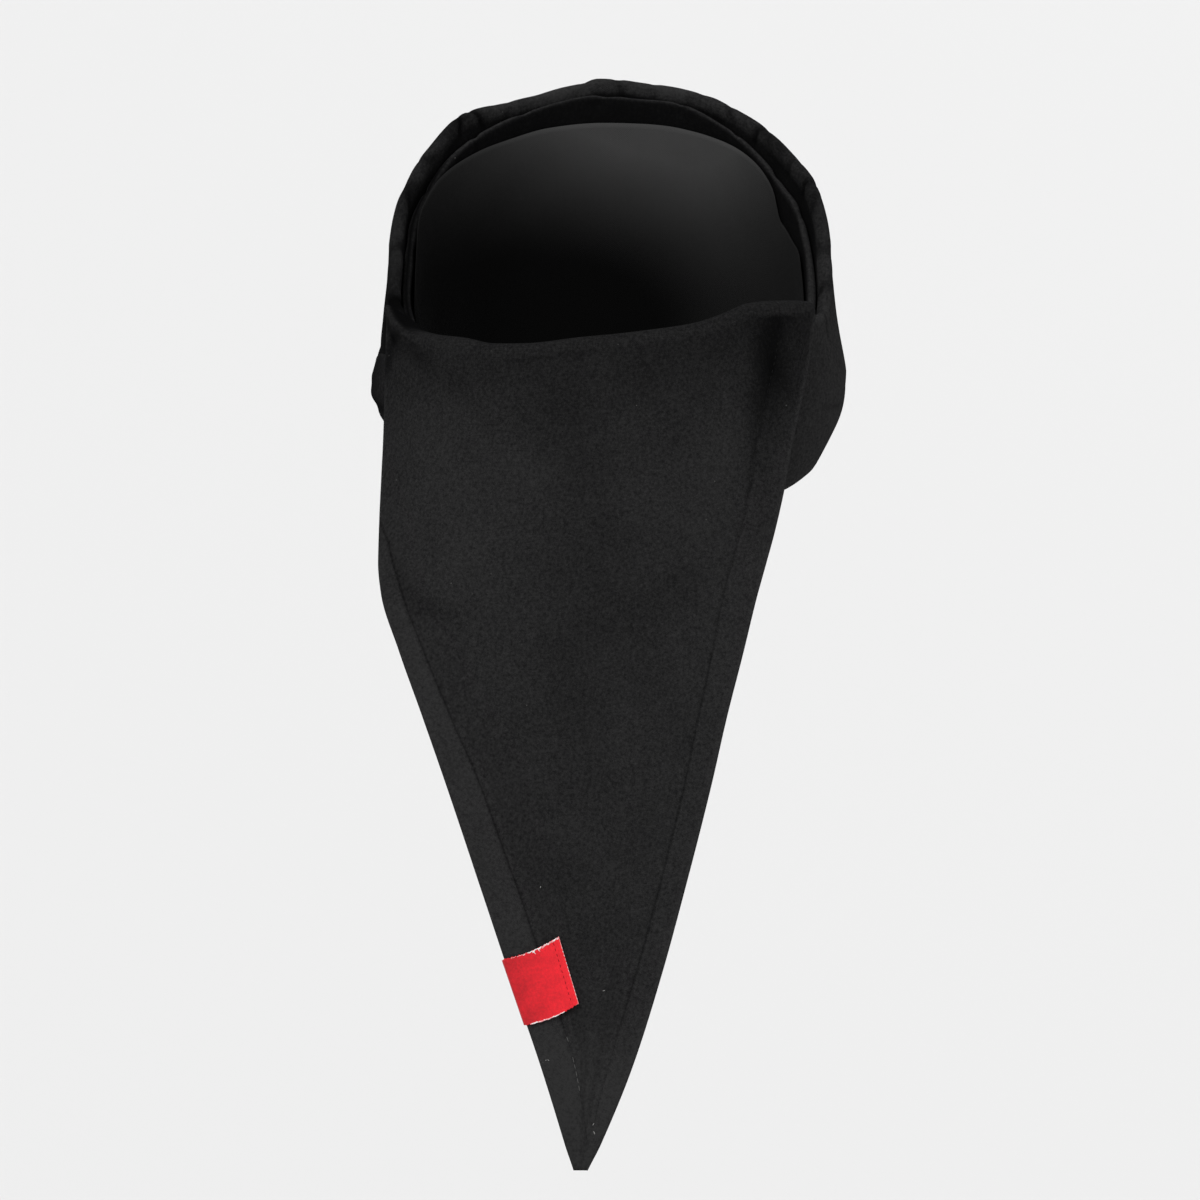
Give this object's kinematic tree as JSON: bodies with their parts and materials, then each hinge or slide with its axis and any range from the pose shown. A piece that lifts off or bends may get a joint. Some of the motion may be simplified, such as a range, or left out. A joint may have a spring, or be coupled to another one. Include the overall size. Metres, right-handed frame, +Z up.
{
  "type": "worn chef neck tie",
  "caption": "Black cloth neck tie in its worn form: a folded band round an open neck hollow, with one end turned over the front and hanging to a blunt point with a plain red edge tab.",
  "frame": {"origin": "middle of the neck, level with the band's rim where it meets the turned-over end", "axes": "+Z up along the neck, +X to the viewer's right (the wearer's left), -Y the way the wearer faces"},
  "size_m": [0.1915, 0.2135, 0.4192],
  "materials": {
    "black_cloth": "matt plain weave, poly-cotton",
    "red_tab": "woven tab with a soft sheen"
  },
  "bodies": {
    "root": {"neck_band_outer": "black_cloth", "neck_band_middle": "black_cloth", "neck_band_inner": "black_cloth", "throat_cross": "black_cloth", "front_fall": "black_cloth", "hem_left": "black_cloth", "hem_right": "black_cloth", "edge_label": "red_tab"}
  },
  "joints": []
}
